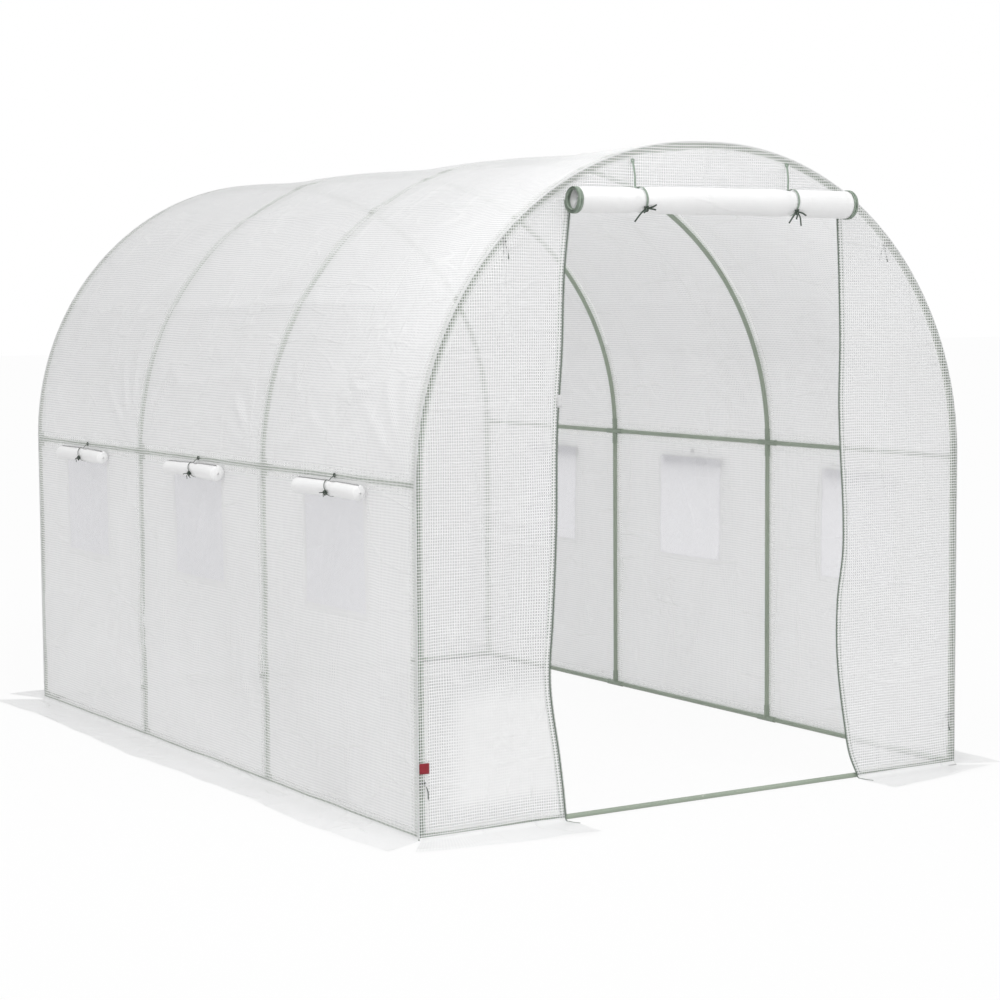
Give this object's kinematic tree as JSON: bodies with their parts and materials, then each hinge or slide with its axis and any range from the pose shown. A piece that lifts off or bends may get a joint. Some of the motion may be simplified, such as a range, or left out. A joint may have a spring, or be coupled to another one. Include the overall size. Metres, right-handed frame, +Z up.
{
  "type": "polytunnel greenhouse",
  "caption": "Walk-in polytunnel greenhouse with a round-topped tube frame, a reinforced plastic cover, roll-up net windows and a roll-up zip door.",
  "frame": {"origin": "centre of the footprint on the ground, under the middle of the tunnel", "axes": "+Z up, +Y along the tunnel from the door end to the back end, +X to the right as seen from in front of the door"},
  "size_m": [2.4242, 3.3342, 2.0521],
  "materials": {
    "frame_paint": "semi-gloss grey-green paint",
    "connector_paint": "semi-gloss grey-green paint",
    "cover_sheet": "translucent reinforced sheet with a fine grid of threads",
    "skirt_sheet": "reinforced sheet lying on the ground",
    "window_net": "fine insect net",
    "hem_sheet": "sewn white hem",
    "rolled_sheet": "white sheet, rolled up",
    "zip_tape": "grey-green zip tape",
    "tie_tape": "grey-green tape",
    "tag_fabric": "plain red woven tag"
  },
  "bodies": {
    "root": {"front_arch": "frame_paint", "second_arch": "frame_paint", "third_arch": "frame_paint", "back_arch": "frame_paint", "left_legs": "frame_paint", "right_legs": "frame_paint", "side_rails": "frame_paint", "ridge_rail": "frame_paint", "base_rails": "frame_paint", "front_base_bar": "frame_paint", "back_base_bar": "frame_paint", "corner_feet": "connector_paint", "base_tees": "connector_paint", "rail_end_tees": "connector_paint", "rail_crosses": "connector_paint", "ridge_end_tees": "connector_paint", "ridge_crosses": "connector_paint", "left_wall_cover": "cover_sheet", "right_wall_cover": "cover_sheet", "left_roof_cover": "cover_sheet", "right_roof_cover": "cover_sheet", "front_left_panel": "cover_sheet", "front_right_panel": "cover_sheet", "front_gable_panel": "cover_sheet", "back_end_panel": "cover_sheet", "left_skirt": "skirt_sheet", "right_skirt": "skirt_sheet", "front_left_skirt": "skirt_sheet", "front_right_skirt": "skirt_sheet", "back_skirt": "skirt_sheet", "left_window_nets": "window_net", "right_window_nets": "window_net", "left_window_borders": "hem_sheet", "right_window_borders": "hem_sheet", "left_window_rolls": "rolled_sheet", "right_window_rolls": "rolled_sheet", "left_window_ties": "tie_tape", "right_window_ties": "tie_tape", "door_roll": "rolled_sheet", "door_roll_ends": "zip_tape", "door_ties": "tie_tape", "left_door_zip": "zip_tape", "right_door_zip": "zip_tape", "corner_tag": "tag_fabric", "frame_ties": "tie_tape"}
  },
  "joints": []
}
